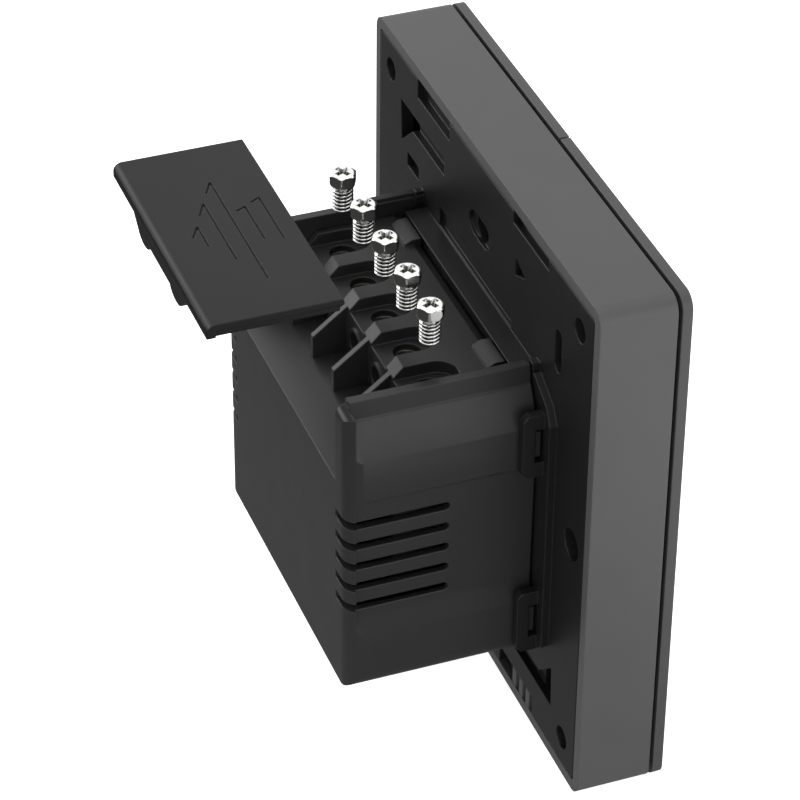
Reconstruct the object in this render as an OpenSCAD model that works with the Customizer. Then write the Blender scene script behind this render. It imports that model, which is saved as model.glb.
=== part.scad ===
// Smart light switch for a square wall box, with two keys in front, a plug-in
// module behind and five screw terminals under a cover. It is shown as a
// technician leaves it before wiring: the terminal cover is off and the five
// terminal screws are backed out.
//
// X runs along the plate's width, Y from the room into the wall and Z up.
// The origin is the centre of the plate on the wall face.

/* [Front plate] */
// Width and height of the square plate
plate_size = 86; // [84:0.5:92]
// Depth of the frame, from the wall face to its front edge
frame_depth = 11.4; // [11.4:0.1:14]
// Thickness of the frame's four sides
frame_wall = 1.8; // [1.4:0.1:2.4]
// Radius of the plate's four corners
corner_r = 2.5; // [2.5:0.1:5]
// Thickness of the frame's front lip
front_lip_t = 1.5; // [1:0.1:2]
// How far the front lip reaches inwards
front_lip_w = 1.4; // [1:0.1:2]

/* [Keys] */
// Thickness of a key's plate
key_t = 1.5; // [1.2:0.1:2.5]
// Gap between the frame's front edge and the keys
key_gap = 0.65; // [0.65:0.05:1.2]
// Gap between the two keys
key_split = 0.4; // [0.3:0.1:1]
// Distance of the key hinge below the plate's top edge
hinge_in = 7.5; // [7:0.5:10]
// Radius of the hinge pins moulded on the carrier
hinge_pin_r = 0.9; // [0.7:0.05:1]
// Clearance between a hinge pin and the key's knuckle
hinge_clear = 0.08; // [0.05:0.01:0.1]
// Width of a key's hinge knuckle
knuckle_w = 4; // [3:0.5:6]
// Distance of a key's outer knuckle from the plate's side edge
knuckle_in = 12.9; // [12.9:0.1:16]
// Distance of the push button under each key above the plate's lower edge
button_in = 21; // [17:0.5:25]
// Radius of the post that meets the push button
key_post_r = 2; // [1.5:0.1:2.5]

/* [Back panel] */
// Thickness of the back panel
panel_t = 2; // [1.6:0.1:2.4]
// Gap between the back panel and the frame
panel_gap = 0.25; // [0.15:0.05:0.4]
// Distance of the corner fixing wells from the plate's edges
fixing_in = 6.5; // [6:0.1:7]
// Radius of a corner fixing well
fixing_r = 1.85; // [1.7:0.05:2.2]
// Depth of a corner fixing well
fixing_depth = 3.4; // [2.6:0.1:4]
// Distance between the two wall screws
wall_pitch = 60.3; // [60:0.1:64]
// Radius of a wall screw's hole
wall_hole_r = 2.1; // [1.8:0.05:2.2]
// Length of the oval recess round a wall screw's hole
wall_oval_l = 8; // [6:0.5:9]
// Distance of the side holes from the plate's side edges
side_hole_in = 6.2; // [6:0.1:9]
// Radius of a side hole
side_hole_r = 2.5; // [1.5:0.1:3]
// Depth of the blind pockets and grooves in the panel
pocket_cut = 1.2; // [0.6:0.1:1.3]
// Distance of the long slots from the panel's upper and lower edges
slot_margin = 7.1; // [6:0.1:8]
// Height of a long slot
slot_h = 3; // [2:0.1:4]
// Length of a long slot
slot_l = 18; // [12:0.5:19]
// Length of a long slot's deep end
deep_l = 4.9; // [3:0.1:6]
// Height of a long slot's deep end
deep_h = 6.9; // [5:0.1:7.5]
// Distance of the long slots' outer ends from the panel's side edges
slot_end = 8.8; // [8:0.1:12]
// Where the latch pockets start, beside the plate's centre line
latch_x = 12.3; // [10:0.1:16]
// Length of a latch pocket
latch_l = 13; // [8:0.5:14]
// Height of the deeper latch pockets
latch_h = 3.1; // [2:0.1:3.6]
// Height of the lower latch pockets
low_latch_h = 1.9; // [1:0.1:2.4]
// Width of the frame's snap teeth in a latch pocket
tooth_w = 1.3; // [0.8:0.1:1.6]
// Distance from one snap tooth to the next
tooth_pitch = 2.6; // [2.2:0.1:3]

/* [Module housing] */
// Width of the module
module_w = 54; // [53.5:0.1:55]
// Depth of the module behind the wall face
module_depth = 30; // [29.5:0.5:34]
// Reach of the module below the plate's centre
module_drop = 27; // [27:0.1:28]
// Thickness of the housing's walls
housing_wall = 1.8; // [1.4:0.1:2]
// Top of the side walls above the plate's centre
wall_top = 22.6; // [22.4:0.1:24]
// Height at which the side walls start to lean inwards
shoulder_z = 14.2; // [12.6:0.2:15]
// How far the top of a side wall leans in
shoulder_in = 2.8; // [2:0.1:3]
// Height of the plain lip on top of a side wall
lip_h = 3.1; // [2.4:0.1:3.4]
// Distance between the inner faces of the two side walls
bay_w = 44.4; // [44.2:0.1:44.8]
// Depth of the shallow panel sunk in each side
side_sink = 0.45; // [0.2:0.05:0.6]
// Radius of the housing's two upright rear corners
rear_r = 2.7; // [2:0.1:3.4]
// Radius of the housing's long bottom edges
bottom_r = 3; // [2:0.1:3.4]
// Height of the wire floor at its front
floor_z = 10.8; // [10:0.1:11]
// Fall of the wire floor towards the rear
floor_fall = 2.1; // [2:0.1:3.6]
// Length of the rear part of the wire floor, which falls
floor_slope_l = 6; // [4:0.5:6]
// Thickness of the wire floor
floor_t = 1.6; // [1.2:0.1:1.8]
// Thickness of the flange that the housing closes against
flange_t = 1.2; // [1:0.1:1.4]
// How far the flange stands out beside the module
flange_out = 3.4; // [2.6:0.1:4]
// Dark joint between the flange and the housing
joint_gap = 0.3; // [0.2:0.05:0.5]

/* [Vents] */
// Number of vent slots on each side
vent_count = 5; // [3:1:5]
// Distance from one vent slot to the next
vent_pitch = 3.7; // [3.2:0.1:3.9]
// Height of a vent slot
vent_h = 1.4; // [1:0.1:1.8]
// Height of the top slot above the plate's centre
vent_top = 3.2; // [2:0.1:3.6]
// Where a vent slot starts, behind the wall face
vent_y = 14.3; // [12:0.1:16]

/* [Clips] */
// Height of a clip loop
clip_h = 10.8; // [9:0.1:12]
// Reach of a clip loop from the wall face
clip_reach = 4.4; // [4.2:0.1:6]
// Thickness of a clip loop
clip_t = 1.4; // [1:0.1:1.8]
// Height of the upper clips' centres
upper_clip_z = 12; // [9:0.1:13]
// Height of the lower clips' centres
lower_clip_z = -19.8; // [-20.6:0.1:-18]
// Thickness of a clip loop's bar at its rear
clip_bar = 1.9; // [1.5:0.1:2]
// Thickness of a clip loop's upper and lower rails
clip_rail = 2.5; // [1.8:0.1:3]
// Height of the catch in a clip loop
catch_h = 4.3; // [3:0.1:5]

/* [Terminals] */
// Distance of the end terminals from the bay's side walls
pole_end = 4.2; // [4:0.05:4.6]
// Top of the terminal deck above the plate's centre
deck_z = 20.2; // [20:0.1:20.4]
// Rear face of the terminal deck, behind the wall face
deck_rear = 18.8; // [18.6:0.1:20]
// Width of a terminal's pocket
pocket_w = 6; // [5:0.1:6.4]
// Depth of a terminal's pocket
pocket_d = 2; // [1.6:0.1:2.2]
// Distance of the terminal screws behind the wall face
screw_y = 14.4; // [14.2:0.1:14.6]
// Radius of the screw's passage in the pocket floor
passage_r = 2; // [1.9:0.05:2.2]
// Radius of a wire entry
wire_r = 2; // [1.6:0.05:2.2]
// Height of the wire entries
wire_z = 14.4; // [14.2:0.1:14.8]
// Thickness of the fins between the wires
fin_t = 1; // [0.8:0.1:1.4]
// Reach of a fin behind the deck
fin_reach = 5.3; // [4:0.1:6]
// Height of a fin at its rear
fin_rear_h = 3.6; // [2:0.1:5]

/* [Terminal screws] */
// Radius of a screw's thread
screw_r = 1.75; // [1.5:0.05:1.8]
// Radius of a screw's head
head_r = 2.1; // [1.9:0.05:2.4]
// Height of a screw's head
head_h = 2; // [1.6:0.1:2.2]
// Length of the threaded shank under the head
shank_l = 4.6; // [4:0.1:5]
// Distance from one thread to the next
thread_pitch = 0.5; // [0.45:0.05:0.7]
// How far the screws are backed out
screw_lift = 12.2; // [0:0.1:15]

/* [Terminal cover] */
// Length of the cover from front to rear
cover_l = 19.5; // [18.5:0.1:20]
// Front edge of the cover when it is fitted
cover_front = 9; // [8.6:0.1:9.6]
// Thickness of the cover's plate
cover_t = 1; // [0.8:0.1:1.2]
// Height of the rim under the cover's plate
rim_h = 1.1; // [1:0.1:1.3]
// Gap on each side between the cover and the side walls
cover_side_gap = 0.5; // [0.3:0.05:0.8]
// Drop of the two finger lobes under the cover's rear edge
lobe_drop = 3.3; // [2:0.1:3.6]
// Distance of each finger lobe from the cover's centre line
lobe_x = 7.4; // [6:0.1:9]
// Radius of a finger lobe
lobe_r = 3; // [2:0.1:4]
// How far the cover is drawn back
cover_back = 19.5; // [0:0.1:22]
// How far the cover is lifted
cover_lift = 16.4; // [0:0.1:20]

/* [Boards] */
// Thickness of both circuit boards
board_t = 1.6; // [1:0.1:1.6]
// Gap between the wall face and the power board
power_board_y = 3; // [2.8:0.1:3.2]
// Distance of the control board's rear face in front of the wall face
control_board_y = 4.6; // [4.4:0.1:4.8]
// Height of the push button bodies
tact_h = 2.8; // [2.4:0.1:3]
// Width of the push button bodies
tact_w = 6; // [5:0.1:7]
// Radius of a push button's plunger
plunger_r = 1.7; // [1.2:0.05:1.8]
// How far a plunger stands out of its button
plunger_out = 0.9; // [0.7:0.05:1.1]
// Depth of the relays
relay_d = 15.5; // [12:0.1:16.5]
// Width of a relay
relay_w = 10.2; // [8:0.1:11]
// Height of a relay
relay_h = 18.5; // [15:0.1:19.5]
// Width of the transformer's core
core_w = 13; // [10:0.5:13]
// Height of the transformer's core
core_h = 12; // [10:0.5:12]
// Depth of each half of the transformer's core
core_d = 4.4; // [3:0.1:5]
// Width of the transformer's bobbin
bobbin_w = 9; // [7:0.5:10]
// Height of the transformer's bobbin
bobbin_h = 15; // [12:0.5:15]
// Depth from one half of the transformer's core to the other
bobbin_d = 9; // [7:0.5:10]
// Radius of the bulk capacitor
bulk_r = 4; // [3:0.1:4]
// Length of the bulk capacitor
bulk_l = 12.5; // [9:0.5:14]
// Width of the film capacitor
film_w = 7; // [5:0.1:7]
// Height of the film capacitor
film_h = 5; // [4:0.1:5]
// Depth of the film capacitor
film_d = 11; // [8:0.1:12]
// Radius of the varistor's disc
disc_r = 4; // [3:0.1:4]
// Thickness of the varistor's disc
disc_t = 3; // [2:0.1:3]
// Radius of the fuse
fuse_r = 1.8; // [1.2:0.1:1.8]
// Length of the fuse
fuse_l = 9; // [7:0.5:10]

/* [Hidden] */
$fn = 48;

// Colours
frame_grey = [0.38, 0.38, 0.39];
shell_black = [0.2, 0.2, 0.21];
key_grey = [0.36, 0.36, 0.37];
board_green = [0.1, 0.32, 0.18];
bright_metal = [0.85, 0.85, 0.87];
brass_yellow = [0.76, 0.62, 0.32];
clear_white = [0.9, 0.92, 0.95];

// Small allowances
cut = 0.1;            // how far a cut runs past the face that it opens
merge = 0.3;          // how far one moulded feature is rooted in the next
slide_clear = 0.1;    // between pieces that are pushed together
screw_clear = 0.15;   // round a screw's thread
board_clear = 0.6;    // round a circuit board
control_gap = 0.9;    // between the control board and the frame

// Front plate
plate_half = plate_size / 2;
frame_inner = plate_half - frame_wall;
inner_r = corner_r - frame_wall;
fixing_pos = plate_half - fixing_in;
side_hole_x = plate_half - side_hole_in;
oval_in = 0.15;       // the oval recess is this much narrower than its hole, on each side
well_floor_t = 1;     // floor of a corner well
teeth = 3;
tooth_in = 5.7;       // from the pocket's inner end to the first tooth
panel_screw_l = 3.6;  // shank of a screw in a corner well
opening_half = frame_inner - front_lip_w;
frame_front = -frame_depth;
carrier_t = 1.5;
carrier_front = frame_front + front_lip_t;
carrier_rear = carrier_front + carrier_t;
carrier_half = frame_inner - slide_clear;
post_w = 7.2;         // square posts in the frame's corners
post_in = frame_inner - post_w;
panel_half = frame_inner - panel_gap;

// Keys
key_rear = frame_front - key_gap;
key_front = key_rear - key_t;
key_w = (plate_size - key_split) / 2;
key_mid = (key_split + key_w) / 2;
hinge_z = plate_half - hinge_in;
button_drop = plate_half - button_in;
knuckle_x = plate_half - knuckle_in - key_mid;
knuckle_wall = 0.9;
hinge_y = carrier_front - hinge_pin_r;
knuckle_r = hinge_pin_r + hinge_clear + knuckle_wall;
knuckle_room = 0.35;  // round a knuckle in the carrier's window
ear_t = 1.2;

// Boards in the front
control_rear = -control_board_y;
control_front = control_rear - board_t;
control_half = frame_inner - control_gap;
tact_front = control_front - tact_h;
plunger_front = tact_front - plunger_out;
plunger_l = 2.6;
plunger_clear = 0.1;
post_gap = 0.05;      // between a key's post and its plunger
button_room = 1;      // round a push button in the carrier
screwdriver_r = 4.5;  // access to a wall screw through the boards
standoff_r = 2;
standoff_in = 13;     // from the plate's side edges
standoff_x = plate_half - standoff_in;
standoff_z = 12;
pipe_r = 1.25;
pipe_in = 10;         // light pipes above the plate's lower edge
pipe_drop = plate_half - pipe_in;
pipe_flange = 0.6;    // width and thickness of a light pipe's flange
led_t = 0.8;
led_w = 1.6;
pipe_travel = 0.75;   // the key's movement above the light pipe, with room

// Module
module_half = module_w / 2;
bay_half = bay_w / 2;
cavity_half = module_half - housing_wall;
cavity_rear = module_depth - housing_wall;
cavity_bottom = -module_drop + housing_wall;
housing_front = flange_t + joint_gap;
lip_z = wall_top - lip_h;
lip_step = 0.3;       // step under the lip
lip_step_h = 0.2;
lip_lean = 0.3;       // how far the lip leans in
lip_half = module_half - shoulder_in - lip_step;
lip_top_half = lip_half - lip_lean;
sink_top = 7.4;       // upper edge of the sunk side panel
sink_bottom = -14;    // lower edge of the sunk side panel
sink_slope = 2.8;     // height of the slope under it
sink_low = 0.9;       // depth of the sunk panel at its lower edge
pillar_w = 3.8;       // corner pillars that stand full width
pillar_l = 1.5;       // their length along the side walls
pillar_root = 2.7;    // how far the pillars start under the leaning walls
end_fall = 2.4;       // fall of the pillars at the rear
vent_in = 4.8;        // how far a vent slot runs round the corner
floor_under = floor_z - floor_t;
floor_bend = 1.25;      // how softly the wire floor starts to fall
seat_w = 1.3;         // ledges that carry the terminal block
seat_half = bay_half - seat_w;
rail_rear = 9;        // rear end of the low rail on the far side wall
rail_h = 0.7;
rail_in = 0.2;        // from the wall's edges to the rail
clip_base = 0.9;      // length of a clip loop's root
clip_chamfer = 0.8;   // on a clip loop's rear corners
catch_out = 0.85;     // how far a catch stands into its loop

// Terminals
poles = 5;
pole_pitch = (bay_w - 2 * pole_end) / (poles - 1);
pole_x = [for (i = [0:poles - 1]) bay_half - pole_end - i * pole_pitch];
fin_x = [for (i = [0:poles - 2]) pole_x[i] - pole_pitch / 2];
ledge_rear = 3.4;     // rear edge of the panel's top ledge
ledge_t = 1.8;
ledge_rise = 0.9;     // the ledge and the deck's ramps stand this high over the deck
ledge_gap = 0.9;      // between the ledge and the side walls
ledge_half = bay_half - ledge_gap;
deck_front = ledge_rear + joint_gap;
block_half = bay_half - slide_clear;
deck_body_gap = 0.5;  // between the power board and the block
deck_chamfer = 1.6;
deck_slope_l = 1.2;   // slope along the deck's front edge
deck_slope_h = 0.7;
pocket_front = 1.2;   // middle of a pocket's round end, in front of the screw
pocket_floor = deck_z - pocket_d;
chamber_w = 6.8;
chamber_front = 11.2;
chamber_rear = 17.3;
pocket_floor_t = 1;
chamber_top = pocket_floor - pocket_floor_t;
clamp_gap = 0.25;     // between a clamp and its chamber
clamp_top_t = 1.3;
clamp_floor_t = 1.1;
tab_w = 2;
tab_t = 0.8;
rim_out = 0.3;        // raised rim round a wire entry
rim_wall = 0.6;

// Screws and cover
head_seat = 0.05;     // under a tightened head
head_top = pocket_floor + head_seat + head_h;
cover_half = bay_half - cover_side_gap;
cover_seat = 0.1;
cover_plate_z = deck_z + cover_seat + rim_h;
cover_round = 1.3;
lobe_root = 1.5;      // where a lobe's curve starts, under the rim
skirt_in = 1;         // between the skirt and the cover's sides
skirt_fall = 0.2;     // fall of the skirt's edge towards the lobes
skirt_end = 12.6;     // where the skirt's edge meets the lobes
rim_t = 0.9;
rim_inset = 0.4;

// Power board
power_front = power_board_y;
power_rear = power_front + board_t;
power_top = deck_z - ledge_t - board_clear;
board_post_r = 2.2;
board_post_in = 3.9;  // from the cavity's side walls
board_post_x = cavity_half - board_post_in;
board_post_low = -21.3;
board_post_high = 5.6;
pilot_r = 0.9;
small_screw_r = 0.85;
small_head_r = 1.6;
small_head_h = 1;
lead_r = 0.4;         // wire leads
relay_low = 4.5;      // relays above the cavity's bottom
relay_edge = 2.4;     // right edge of the right relay
relay_gap = 1.2;      // between the relays
core_x = 5.4;         // left edge of the transformer's core
core_low = 5.6;       // transformer above the cavity's bottom
bulk_x = 14.5;
bulk_z = 1;
film_x = 2.9;
film_z = -3.2;
disc_x = -13;
disc_z = 4;
fuse_in = 3.6;        // from the cavity's side wall
fuse_x = cavity_half - fuse_in;
fuse_z = -11;

// A block from one corner to the opposite one
module span(low, high) {
    translate(low) cube(high - low);
}

// A shape drawn in X and Z, carried along Y
module along_y(y0, y1) {
    translate([0, y1, 0]) rotate([90, 0, 0]) linear_extrude(y1 - y0) children();
}

// A shape drawn in Y and Z, carried along X
module along_x(x0, x1) {
    translate([x0, 0, 0]) rotate([90, 0, 90]) linear_extrude(x1 - x0) children();
}

// A round bar along Y, centred at x and z
module rod_y(x, z, r, y0, y1) {
    translate([x, y1, z]) rotate([90, 0, 0]) cylinder(r = r, h = y1 - y0);
}

// The same shape on both sides of the middle
module both_sides() {
    children();
    mirror([1, 0, 0]) children();
}

module rounded_square(w, r) {
    square([w - 2 * r, w], center = true);
    square([w, w - 2 * r], center = true);
    for (sx = [-1, 1], sz = [-1, 1])
        translate([sx * (w / 2 - r), sz * (w / 2 - r)]) circle(r);
}

function arc(x, z, r, from, to, steps = 6) =
    [for (i = [0:steps]) let (a = from + (to - from) * i / steps) [x + r * cos(a), z + r * sin(a)]];

// Frame round the plate, with posts that take the corner screws
module front_frame() {
    color(frame_grey) {
        difference() {
            along_y(frame_front, 0) rounded_square(plate_size, corner_r);
            difference() {
                along_y(carrier_front, cut) rounded_square(2 * frame_inner, inner_r);
                for (sx = [-1, 1], sz = [-1, 1]) corner_post(sx, sz);
            }
            along_y(frame_front - cut, carrier_front + cut) rounded_square(2 * opening_half, inner_r);
            for (sx = [-1, 1], sz = [-1, 1])
                rod_y(sx * fixing_pos, sz * fixing_pos, pilot_r, carrier_rear, 0);
        }
        snap_teeth();
    }
}

// Teeth of the frame that lie in the panel's lower latch pocket
module snap_teeth() {
    for (i = [0:teeth - 1]) {
        x = -latch_x - tooth_in - i * tooth_pitch;
        span([x - tooth_w / 2, slide_clear - pocket_cut, -frame_inner - merge],
             [x + tooth_w / 2, -slide_clear, latch_h - panel_half - panel_gap]);
    }
}

// Corner post of the frame, up to the panel's well
module corner_post(sx, sz) {
    post_rear = -fixing_depth - well_floor_t;
    span([min(sx * post_in, sx * plate_half), carrier_front - cut, min(sz * post_in, sz * plate_half)],
         [max(sx * post_in, sx * plate_half), post_rear, max(sz * post_in, sz * plate_half)]);
}

// Notches that clear the frame's corner posts
module corner_notches(y0, y1) {
    reach = post_in - slide_clear * 2;
    for (sx = [-1, 1], sz = [-1, 1])
        span([min(sx * reach, sx * plate_half), y0 - cut, min(sz * reach, sz * plate_half)],
             [max(sx * reach, sx * plate_half), y1 + cut, max(sz * reach, sz * plate_half)]);
}

// Screwdriver access to the two wall screws
module wall_screw_access(y0, y1) {
    for (sz = [-1, 1]) rod_y(0, sz * wall_pitch / 2, screwdriver_r, y0 - cut, y1 + cut);
}

// Tray behind the keys, which carries their hinge pins
module key_carrier() {
    window_x = knuckle_w / 2 + knuckle_room;
    window_z = knuckle_r + knuckle_room;
    room = tact_w / 2 + button_room;
    color(shell_black) {
        difference() {
            along_y(carrier_front, carrier_rear) rounded_square(2 * carrier_half, inner_r);
            corner_notches(carrier_front, carrier_rear);
            wall_screw_access(carrier_front, carrier_rear);
            for (sx = [-1, 1]) {
                span([sx * key_mid - room, carrier_front - cut, -button_drop - room],
                     [sx * key_mid + room, carrier_rear + cut, -button_drop + room]);
                rod_y(sx * key_mid, -pipe_drop, pipe_r, carrier_front - cut, carrier_rear + cut);
                for (x = [sx * key_mid - knuckle_x, sx * key_mid + knuckle_x])
                    span([x - window_x, carrier_front - cut, hinge_z - window_z],
                         [x + window_x, carrier_rear + cut, hinge_z + window_z]);
            }
        }
        for (sx = [-1, 1], k = [-1, 1]) hinge_ears(sx * key_mid + k * knuckle_x, window_x);
        for (sx = [-1, 1], sz = [-1, 1])
            rod_y(sx * standoff_x, sz * standoff_z, standoff_r, carrier_rear - merge, control_front);
    }
}

// Two ears with a pin between them
module hinge_ears(x, window_x) {
    for (s = [-1, 1])
        span([x + s * (window_x + ear_t / 2) - ear_t / 2, hinge_y - hinge_pin_r, hinge_z - hinge_pin_r],
             [x + s * (window_x + ear_t / 2) + ear_t / 2, carrier_front + merge, hinge_z + hinge_pin_r]);
    translate([x - window_x - merge, hinge_y, hinge_z]) rotate([0, 90, 0])
        cylinder(r = hinge_pin_r, h = 2 * (window_x + merge));
}

// One key, hinged at its top edge and pressed at its bottom
module key(side) {
    x = side * key_mid;
    color(key_grey) difference() {
        union() {
            translate([x, 0, 0]) along_y(key_front, key_rear)
                square([key_w, plate_size], center = true);
            for (k = [-1, 1]) translate([x + k * knuckle_x - knuckle_w / 2, 0, 0]) {
                translate([0, hinge_y, hinge_z]) rotate([0, 90, 0]) cylinder(r = knuckle_r, h = knuckle_w);
                span([0, key_rear - merge, hinge_z - knuckle_r], [knuckle_w, hinge_y, hinge_z + knuckle_r]);
            }
            rod_y(x, -button_drop, key_post_r, key_rear - merge, plunger_front - post_gap);
        }
        for (k = [-1, 1]) translate([x + k * knuckle_x - knuckle_w / 2 - cut, hinge_y, hinge_z])
            rotate([0, 90, 0]) cylinder(r = hinge_pin_r + hinge_clear, h = knuckle_w + 2 * cut);
        // the plate's two outer corners are rounded like the frame's
        for (sz = [-1, 1]) along_y(key_front - cut, key_rear + cut) scale([side, sz])
            translate([plate_half - corner_r, plate_half - corner_r]) difference() {
                square(corner_r + cut);
                circle(corner_r);
            }
        // thin spot in front of the light pipe
        rod_y(x, -pipe_drop, pipe_r, key_front + key_t / 3, key_rear + cut);
    }
}

module key_left() { key(-1); }
module key_right() { key(1); }

module control_board() {
    color(board_green) difference() {
        along_y(control_front, control_rear) square(2 * control_half, center = true);
        corner_notches(control_front, control_rear);
        wall_screw_access(control_front, control_rear);
    }
}

// Radio module under its shield can, on the back of the control board
module wireless_module() {
    can_w = 16;
    can_h = 12;
    can_d = 1.8;
    base_w = 18;
    base_h = 20;
    base_d = 0.8;
    low_z = 3;
    can_z = 4;
    color(bright_metal) {
        span([-base_w / 2, control_rear, low_z], [base_w / 2, control_rear + base_d, low_z + base_h]);
        span([-can_w / 2, control_rear + base_d - merge, can_z],
             [can_w / 2, control_rear + can_d, can_z + can_h]);
    }
}

module status_leds() {
    color("white") for (sx = [-1, 1])
        span([sx * key_mid - led_w / 2, control_front - led_t, -pipe_drop - led_w / 2],
             [sx * key_mid + led_w / 2, control_front, -pipe_drop + led_w / 2]);
}

module tact_switch(side) {
    x = side * key_mid;
    color(shell_black) difference() {
        span([x - tact_w / 2, tact_front, -button_drop - tact_w / 2],
             [x + tact_w / 2, control_front, -button_drop + tact_w / 2]);
        rod_y(x, -button_drop, plunger_r + plunger_clear, tact_front - cut, control_front - merge);
    }
}

module tact_switch_left() { tact_switch(-1); }
module tact_switch_right() { tact_switch(1); }

module tact_plunger(side) {
    color(clear_white)
        rod_y(side * key_mid, -button_drop, plunger_r, plunger_front, plunger_front + plunger_l);
}

module tact_plunger_left() { tact_plunger(-1); }
module tact_plunger_right() { tact_plunger(1); }

// Clear rod that carries a status light from the board to the key
module light_pipe(side) {
    color(clear_white) {
        rod_y(side * key_mid, -pipe_drop, pipe_r, key_rear + pipe_travel, control_front - led_t);
        rod_y(side * key_mid, -pipe_drop, pipe_r + pipe_flange, carrier_rear, carrier_rear + pipe_flange);
    }
}

module light_pipe_left() { light_pipe(-1); }
module light_pipe_right() { light_pipe(1); }

// Half of the housing's outline, from the bottom to the top of the side wall
function wall_outline(sign) = [for (p = concat(
    arc(module_half - bottom_r, bottom_r - module_drop, bottom_r, -90, 0),
    [[module_half, shoulder_z],
     [module_half - shoulder_in, lip_z],
     [lip_half, lip_z + lip_step_h],
     [lip_top_half, wall_top]])) [sign * p.x, p.y]];

module housing_outline() {
    right = wall_outline(1);
    left = wall_outline(-1);
    polygon(concat(right, [for (i = [len(left) - 1:-1:0]) left[i]]));
}

// The flange stands out beside the housing, as the foot of the clip loops
module flange_outline() {
    foot_fall = 1.5;
    foot_rise = 1.3;
    foot_slope = 4;
    edge = module_half + flange_out;
    top_z = upper_clip_z + clip_h / 2;
    low_z = lower_clip_z - clip_h / 2;
    housing_outline();
    for (s = [-1, 1]) polygon([for (p = [[cavity_half, low_z], [edge - foot_fall, low_z],
        [edge, low_z + foot_fall], [edge, top_z - foot_rise], [edge - foot_fall, top_z + foot_rise],
        [lip_half, top_z + foot_slope]]) [s * p.x, p.y]]);
}

// Room inside the flange and the housing's front edge
module flange_room() {
    translate([-cavity_half, cavity_bottom]) square([2 * cavity_half, floor_under - cavity_bottom]);
    translate([-seat_half, floor_under - cut]) square([2 * seat_half, floor_t + 2 * cut]);
    translate([-bay_half, floor_z]) square([bay_w, wall_top - floor_z + cut]);
}

// Pockets, slots and holes that open on the wall side of the back panel
module panel_cuts() {
    edge = panel_half + cut;
    through = -panel_t - cut;
    top = panel_half - slot_margin;
    out = panel_half - slot_end;
    deep_in = 0.4;
    for (s = [-1, 1]) {
        // stepped slots, near two opposite corners: a deep end and a long shallow one
        along_y(through, cut) polygon(s * [[out, top], [out - deep_l, top],
            [out - deep_l, top - slot_h], [out - deep_in, top - deep_h]]);
        along_y(-pocket_cut, cut) polygon(s * [[out - deep_l + cut, top], [out - slot_l, top],
            [out - slot_l, top - slot_h], [out - deep_l + cut, top - slot_h]]);
        // latch pockets along the upper and lower edges
        along_y(-pocket_cut, cut) polygon(s * [[latch_x + latch_l, edge], [latch_x, edge],
            [latch_x, panel_half - latch_h], [latch_x + latch_l, panel_half - latch_h]]);
        along_y(-pocket_cut, cut) polygon(s * [[-latch_x - latch_l, edge], [-latch_x, edge],
            [-latch_x, panel_half - low_latch_h], [-latch_x - latch_l, panel_half - low_latch_h]]);
        rod_y(s * side_hole_x, 0, side_hole_r, through, cut);
        wall_screw_hole(s * wall_pitch / 2, through);
    }
    corner_pockets(top, -out);
    upper_grooves();
}

// Hole of a wall screw in its oval recess
module wall_screw_hole(z, through) {
    oval_r = wall_hole_r - oval_in;
    oval_x = wall_oval_l / 2 - oval_r;
    rod_y(0, z, wall_hole_r, through, cut);
    for (k = [-1, 1]) rod_y(k * oval_x, z, oval_r, -pocket_cut / 2, cut);
    span([-oval_x, -pocket_cut / 2, z - oval_r], [oval_x, cut, z + oval_r]);
}

// Small pockets between the upper wall screw's hole and one corner
module corner_pockets(top, side) {
    wedge_l = 3.6;
    wedge_h = 3;
    wedge_gap = 1.4;
    wedge_rise = 0.2;
    wedge_x = -latch_x - wedge_gap;
    wedge_z = top + wedge_rise;
    round_r = 1.2;
    round_h = 4.6;
    round_in = 2.6;
    round_fall = 5.4;
    round_x = side + round_in;
    round_z = top - round_fall;
    along_y(-pocket_cut, cut) polygon([[wedge_x, wedge_z], [wedge_x - wedge_l, wedge_z - wedge_h / 2],
        [wedge_x, wedge_z - wedge_h]]);
    along_y(-pocket_cut, cut) translate([round_x, round_z]) {
        square([2 * round_r, round_h], center = true);
        for (s = [-1, 1]) translate([0, s * round_h / 2]) circle(round_r);
    }
}

// Notch over the far side wall and a thin groove over the ledge
module upper_grooves() {
    groove_gap = 1.2;
    notch_l = 4.8;
    notch_h = 2.4;
    notch_in = 2.2;
    notch_x = bay_half + notch_in;
    groove_l = 28.2;
    groove_h = 3.2;
    groove_x = -12.6;
    span([notch_x, -pocket_cut, wall_top + groove_gap],
         [notch_x + notch_l, cut, wall_top + groove_gap + notch_h]);
    span([groove_x, -pocket_cut / 2, deck_z + groove_gap],
         [groove_x + groove_l, cut, deck_z + groove_gap + groove_h]);
}

// Loop that snaps over a catch of the housing
module clip_loop(z) {
    inner = module_half + joint_gap;
    hole_h = clip_h / 2 - clip_rail;
    difference() {
        along_x(inner, inner + clip_t) polygon([[-merge, z - clip_h / 2],
            [clip_reach - clip_chamfer, z - clip_h / 2], [clip_reach, z - clip_h / 2 + clip_chamfer],
            [clip_reach, z + clip_h / 2 - clip_chamfer], [clip_reach - clip_chamfer, z + clip_h / 2],
            [-merge, z + clip_h / 2]]);
        span([inner - cut, clip_base, z - hole_h],
             [inner + clip_t + cut, clip_reach - clip_bar, z + hole_h]);
    }
    span([module_half - shoulder_in, -merge, z - clip_h / 2], [inner + merge, clip_base, z + clip_h / 2]);
}

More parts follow.
